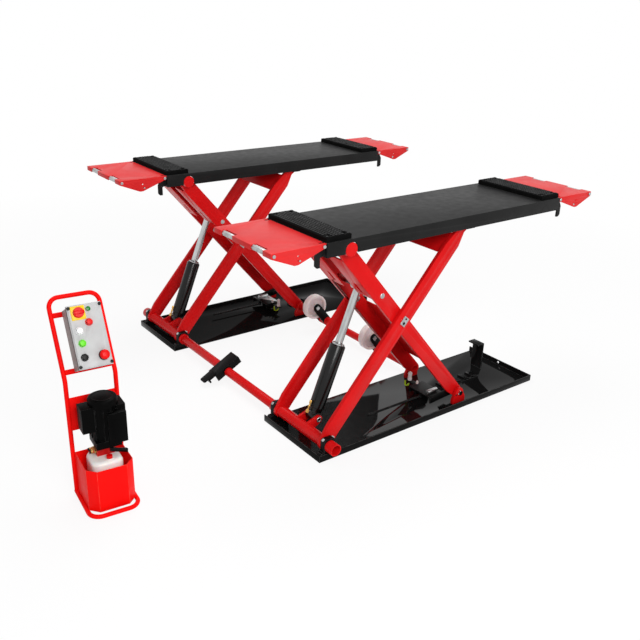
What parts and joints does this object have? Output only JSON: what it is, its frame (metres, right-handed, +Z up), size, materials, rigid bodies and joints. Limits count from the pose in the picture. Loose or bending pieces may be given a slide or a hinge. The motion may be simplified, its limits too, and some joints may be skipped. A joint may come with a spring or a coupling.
{
  "type": "portable scissor car lift",
  "caption": "Portable scissor car lift: two scissor units with decks and hinged ramps, joined by a tow tube and a wheel bar, with a separate hydraulic power unit on a tube stand.",
  "frame": {"origin": "centre of the bounding box of the whole set, on the floor", "axes": "+X along the decks towards the sliding feet, +Y from the unit next to the power unit to the other, +Z up"},
  "size_m": [2.6918, 1.898, 1.0302],
  "materials": {
    "red_paint": "gloss enamel over welded steel",
    "bright_red_paint": "gloss powder coat",
    "black_paint": "semi-gloss enamel",
    "deck_paint": "satin textured enamel",
    "pad_rubber": "matt moulded tread",
    "bright_steel": "polished plating",
    "plated_steel": "zinc plated",
    "nylon": "cast nylon",
    "box_grey": "powder coat",
    "lid_grey": "moulded",
    "tank_white": "moulded",
    "motor_black": "satin enamel",
    "block_red": "satin enamel",
    "red_plastic": "moulded",
    "white_plastic": "moulded",
    "green_plastic": "moulded",
    "black_plastic": "moulded"
  },
  "bodies": {
    "base": {"base_tray_front": "black_paint", "base_tray_rear": "black_paint", "bearing_block_outer_front": "black_paint", "bearing_block_inner_front": "black_paint", "bearing_block_outer_rear": "black_paint", "bearing_block_inner_rear": "black_paint", "stand_frame": "bright_red_paint", "stand_bin": "bright_red_paint", "control_box": "box_grey", "control_lid": "lid_grey", "motor": "motor_black", "valve_block": "block_red", "oil_tank": "tank_white"},
    "outer_arms": {"outer_frame_front": "red_paint", "outer_frame_rear": "red_paint", "connecting_tube": "red_paint", "tow_tongue": "black_paint", "centre_pin_outer_front": "plated_steel", "centre_pin_inner_front": "plated_steel", "centre_pin_outer_rear": "plated_steel", "centre_pin_inner_rear": "plated_steel"},
    "inner_arms": {"inner_frame_front": "red_paint", "inner_frame_rear": "red_paint", "wheel_bar": "red_paint"},
    "deck_front": {"deck_front": "deck_paint", "deck_pad_left_front": "pad_rubber", "deck_pad_right_front": "pad_rubber"},
    "carrier_front": {"lock_carrier_front": "red_paint"},
    "shoe_front": {"foot_shoe_front": "red_paint"},
    "slide_front": {"top_slide_front": "black_paint"},
    "barrel_front": {"ram_barrel_front": "black_paint"},
    "rod_front": {"ram_rod_front": "bright_steel"},
    "deck_rear": {"deck_rear": "deck_paint", "deck_pad_left_rear": "pad_rubber", "deck_pad_right_rear": "pad_rubber"},
    "carrier_rear": {"lock_carrier_rear": "red_paint"},
    "shoe_rear": {"foot_shoe_rear": "red_paint"},
    "slide_rear": {"top_slide_rear": "black_paint"},
    "barrel_rear": {"ram_barrel_rear": "black_paint"},
    "rod_rear": {"ram_rod_rear": "bright_steel"},
    "wheel_front": {"wheel_front": "nylon"},
    "wheel_rear": {"wheel_rear": "nylon"},
    "pawl_front": {"lock_pawl_front": "black_paint"},
    "pawl_rear": {"lock_pawl_rear": "black_paint"},
    "ramp_left_front": {"ramp_left_front": "red_paint"},
    "ramp_right_front": {"ramp_right_front": "red_paint"},
    "rollers_left_front": {"ramp_roller_left_front": "bright_steel"},
    "rollers_right_front": {"ramp_roller_right_front": "bright_steel"},
    "ramp_left_rear": {"ramp_left_rear": "red_paint"},
    "ramp_right_rear": {"ramp_right_rear": "red_paint"},
    "rollers_left_rear": {"ramp_roller_left_rear": "bright_steel"},
    "rollers_right_rear": {"ramp_roller_right_rear": "bright_steel"},
    "button_red_body": {"button_red": "red_plastic"},
    "button_white_body": {"button_white": "white_plastic"},
    "button_green_body": {"button_green": "green_plastic"},
    "button_black_body": {"button_black": "black_plastic"},
    "emergency_stop_body": {"emergency_stop": "red_plastic"},
    "isolator": {"isolator_knob": "red_plastic"},
    "lever": {"release_lever": "black_paint"},
    "cap": {"tank_cap": "red_plastic"}
  },
  "joints": [
    {"name": "lift", "type": "hinge", "parent": "base", "child": "outer_arms", "pos_m": [-0.3121, 0, 0.062], "axis": [0, 1, 0], "range_deg": [0, 46.3]},
    {"name": "scissor_centre", "type": "hinge", "parent": "outer_arms", "child": "inner_arms", "pos_m": [0.11434, 0, 0.55256], "axis": [0, 1, 0], "range_deg": [-92.65, 0]},
    {"name": "deck_pivot_front", "type": "hinge", "parent": "inner_arms", "child": "deck_front", "pos_m": [-0.24059, -0.69, 0.96086], "axis": [0, 1, 0], "range_deg": [0, 46.35]},
    {"name": "carrier_pivot_front", "type": "hinge", "parent": "inner_arms", "child": "carrier_front", "pos_m": [0.54078, -0.845, 0.062], "axis": [0, 1, 0], "range_deg": [0, 46.35]},
    {"name": "shoe_pivot_front", "type": "hinge", "parent": "inner_arms", "child": "shoe_front", "pos_m": [0.54078, -0.515, 0.062], "axis": [0, 1, 0], "range_deg": [0, 46.35]},
    {"name": "slide_pivot_front", "type": "hinge", "parent": "outer_arms", "child": "slide_front", "pos_m": [0.46927, -0.69, 0.96086], "axis": [0, 1, 0], "range_deg": [-46.35, 0]},
    {"name": "barrel_pivot_front", "type": "hinge", "parent": "outer_arms", "child": "barrel_front", "pos_m": [-0.24616, -0.69, 0.09213], "axis": [0, 1, 0], "range_deg": [0, 12.75]},
    {"name": "rod_slide_front", "type": "slide", "parent": "barrel_front", "child": "rod_front", "axis": [0.3651, 0, 0.931], "range_m": [-0.24938, 0]},
    {"name": "deck_pivot_rear", "type": "hinge", "parent": "inner_arms", "child": "deck_rear", "pos_m": [-0.24059, 0.69, 0.96086], "axis": [0, 1, 0], "range_deg": [0, 46.35]},
    {"name": "carrier_pivot_rear", "type": "hinge", "parent": "inner_arms", "child": "carrier_rear", "pos_m": [0.54078, 0.845, 0.062], "axis": [0, 1, 0], "range_deg": [0, 46.35]},
    {"name": "shoe_pivot_rear", "type": "hinge", "parent": "inner_arms", "child": "shoe_rear", "pos_m": [0.54078, 0.515, 0.062], "axis": [0, 1, 0], "range_deg": [0, 46.35]},
    {"name": "slide_pivot_rear", "type": "hinge", "parent": "outer_arms", "child": "slide_rear", "pos_m": [0.46927, 0.69, 0.96086], "axis": [0, 1, 0], "range_deg": [-46.35, 0]},
    {"name": "barrel_pivot_rear", "type": "hinge", "parent": "outer_arms", "child": "barrel_rear", "pos_m": [-0.24616, 0.69, 0.09213], "axis": [0, 1, 0], "range_deg": [0, 12.75]},
    {"name": "rod_slide_rear", "type": "slide", "parent": "barrel_rear", "child": "rod_rear", "axis": [0.3651, 0, 0.931], "range_m": [-0.24938, 0]},
    {"name": "wheel_spin_front", "type": "hinge", "parent": "inner_arms", "child": "wheel_front", "pos_m": [0.46092, -0.262, 0.16458], "axis": [0, 1, 0], "continuous": true},
    {"name": "wheel_spin_rear", "type": "hinge", "parent": "inner_arms", "child": "wheel_rear", "pos_m": [0.46092, 0.262, 0.16458], "axis": [0, 1, 0], "continuous": true},
    {"name": "pawl_pivot_front", "type": "hinge", "parent": "carrier_front", "child": "pawl_front", "pos_m": [0.42078, -0.695, 0.038], "axis": [0, 1, 0], "range_deg": [0, 14]},
    {"name": "pawl_pivot_rear", "type": "hinge", "parent": "carrier_rear", "child": "pawl_rear", "pos_m": [0.42078, 0.695, 0.038], "axis": [0, 1, 0], "range_deg": [0, 14]},
    {"name": "ramp_hinge_left_front", "type": "hinge", "parent": "deck_front", "child": "ramp_left_front", "pos_m": [-0.3781, -0.69, 0.99486], "axis": [0, -1, 0], "range_deg": [0, 34.5]},
    {"name": "ramp_hinge_right_front", "type": "hinge", "parent": "deck_front", "child": "ramp_right_front", "pos_m": [1.0959, -0.69, 0.99486], "axis": [0, 1, 0], "range_deg": [0, 34.5]},
    {"name": "ramp_roller_spin_left_front", "type": "hinge", "parent": "ramp_left_front", "child": "rollers_left_front", "pos_m": [-0.6161, -0.69, 0.99486], "axis": [0, 1, 0], "continuous": true},
    {"name": "ramp_roller_spin_right_front", "type": "hinge", "parent": "ramp_right_front", "child": "rollers_right_front", "pos_m": [1.3339, -0.69, 0.99486], "axis": [0, 1, 0], "continuous": true},
    {"name": "ramp_hinge_left_rear", "type": "hinge", "parent": "deck_rear", "child": "ramp_left_rear", "pos_m": [-0.3781, 0.69, 0.99486], "axis": [0, -1, 0], "range_deg": [0, 34.5]},
    {"name": "ramp_hinge_right_rear", "type": "hinge", "parent": "deck_rear", "child": "ramp_right_rear", "pos_m": [1.0959, 0.69, 0.99486], "axis": [0, 1, 0], "range_deg": [0, 34.5]},
    {"name": "ramp_roller_spin_left_rear", "type": "hinge", "parent": "ramp_left_rear", "child": "rollers_left_rear", "pos_m": [-0.6161, 0.69, 0.99486], "axis": [0, 1, 0], "continuous": true},
    {"name": "ramp_roller_spin_right_rear", "type": "hinge", "parent": "ramp_right_rear", "child": "rollers_right_rear", "pos_m": [1.3339, 0.69, 0.99486], "axis": [0, 1, 0], "continuous": true},
    {"name": "button_red_press", "type": "slide", "parent": "base", "child": "button_red_body", "axis": [0.0824, 0.872, -0.4825], "range_m": [0, 0.004], "stiffness_N_per_m": 250},
    {"name": "button_white_press", "type": "slide", "parent": "base", "child": "button_white_body", "axis": [0.0824, 0.872, -0.4825], "range_m": [0, 0.004], "stiffness_N_per_m": 250},
    {"name": "button_green_press", "type": "slide", "parent": "base", "child": "button_green_body", "axis": [0.0824, 0.872, -0.4825], "range_m": [0, 0.004], "stiffness_N_per_m": 250},
    {"name": "button_black_press", "type": "slide", "parent": "base", "child": "button_black_body", "axis": [0.0824, 0.872, -0.4825], "range_m": [0, 0.004], "stiffness_N_per_m": 250},
    {"name": "emergency_stop_press", "type": "slide", "parent": "base", "child": "emergency_stop_body", "axis": [0.0824, 0.872, -0.4825], "range_m": [0, 0.005], "stiffness_N_per_m": 250},
    {"name": "isolator_turn", "type": "hinge", "parent": "base", "child": "isolator", "pos_m": [-1.2458, -0.53171, 0.78047], "axis": [0.0824, 0.872, -0.4825], "range_deg": [0, 90]},
    {"name": "lever_lift", "type": "hinge", "parent": "base", "child": "lever", "pos_m": [-1.20548, -0.65611, 0.2373], "axis": [-0.0941, -0.9956, 0], "range_deg": [0, 25]},
    {"name": "cap_turn", "type": "hinge", "parent": "base", "child": "cap", "pos_m": [-1.2299, -0.68062, 0.2233], "axis": [0, 0, 1], "continuous": true}
  ],
  "couplings": [
    {"joint": "scissor_centre", "follows": "lift", "ratio": -2},
    {"joint": "deck_pivot_front", "follows": "lift", "ratio": 1},
    {"joint": "carrier_pivot_front", "follows": "lift", "ratio": 1},
    {"joint": "shoe_pivot_front", "follows": "lift", "ratio": 1},
    {"joint": "slide_pivot_front", "follows": "lift", "ratio": -1},
    {"joint": "barrel_pivot_front", "follows": "lift", "ratio": 0.27437},
    {"joint": "rod_slide_front", "follows": "lift", "m_per_rad": -0.30823},
    {"joint": "deck_pivot_rear", "follows": "lift", "ratio": 1},
    {"joint": "carrier_pivot_rear", "follows": "lift", "ratio": 1},
    {"joint": "shoe_pivot_rear", "follows": "lift", "ratio": 1},
    {"joint": "slide_pivot_rear", "follows": "lift", "ratio": -1},
    {"joint": "barrel_pivot_rear", "follows": "lift", "ratio": 0.27437},
    {"joint": "rod_slide_rear", "follows": "lift", "m_per_rad": -0.30823}
  ]
}
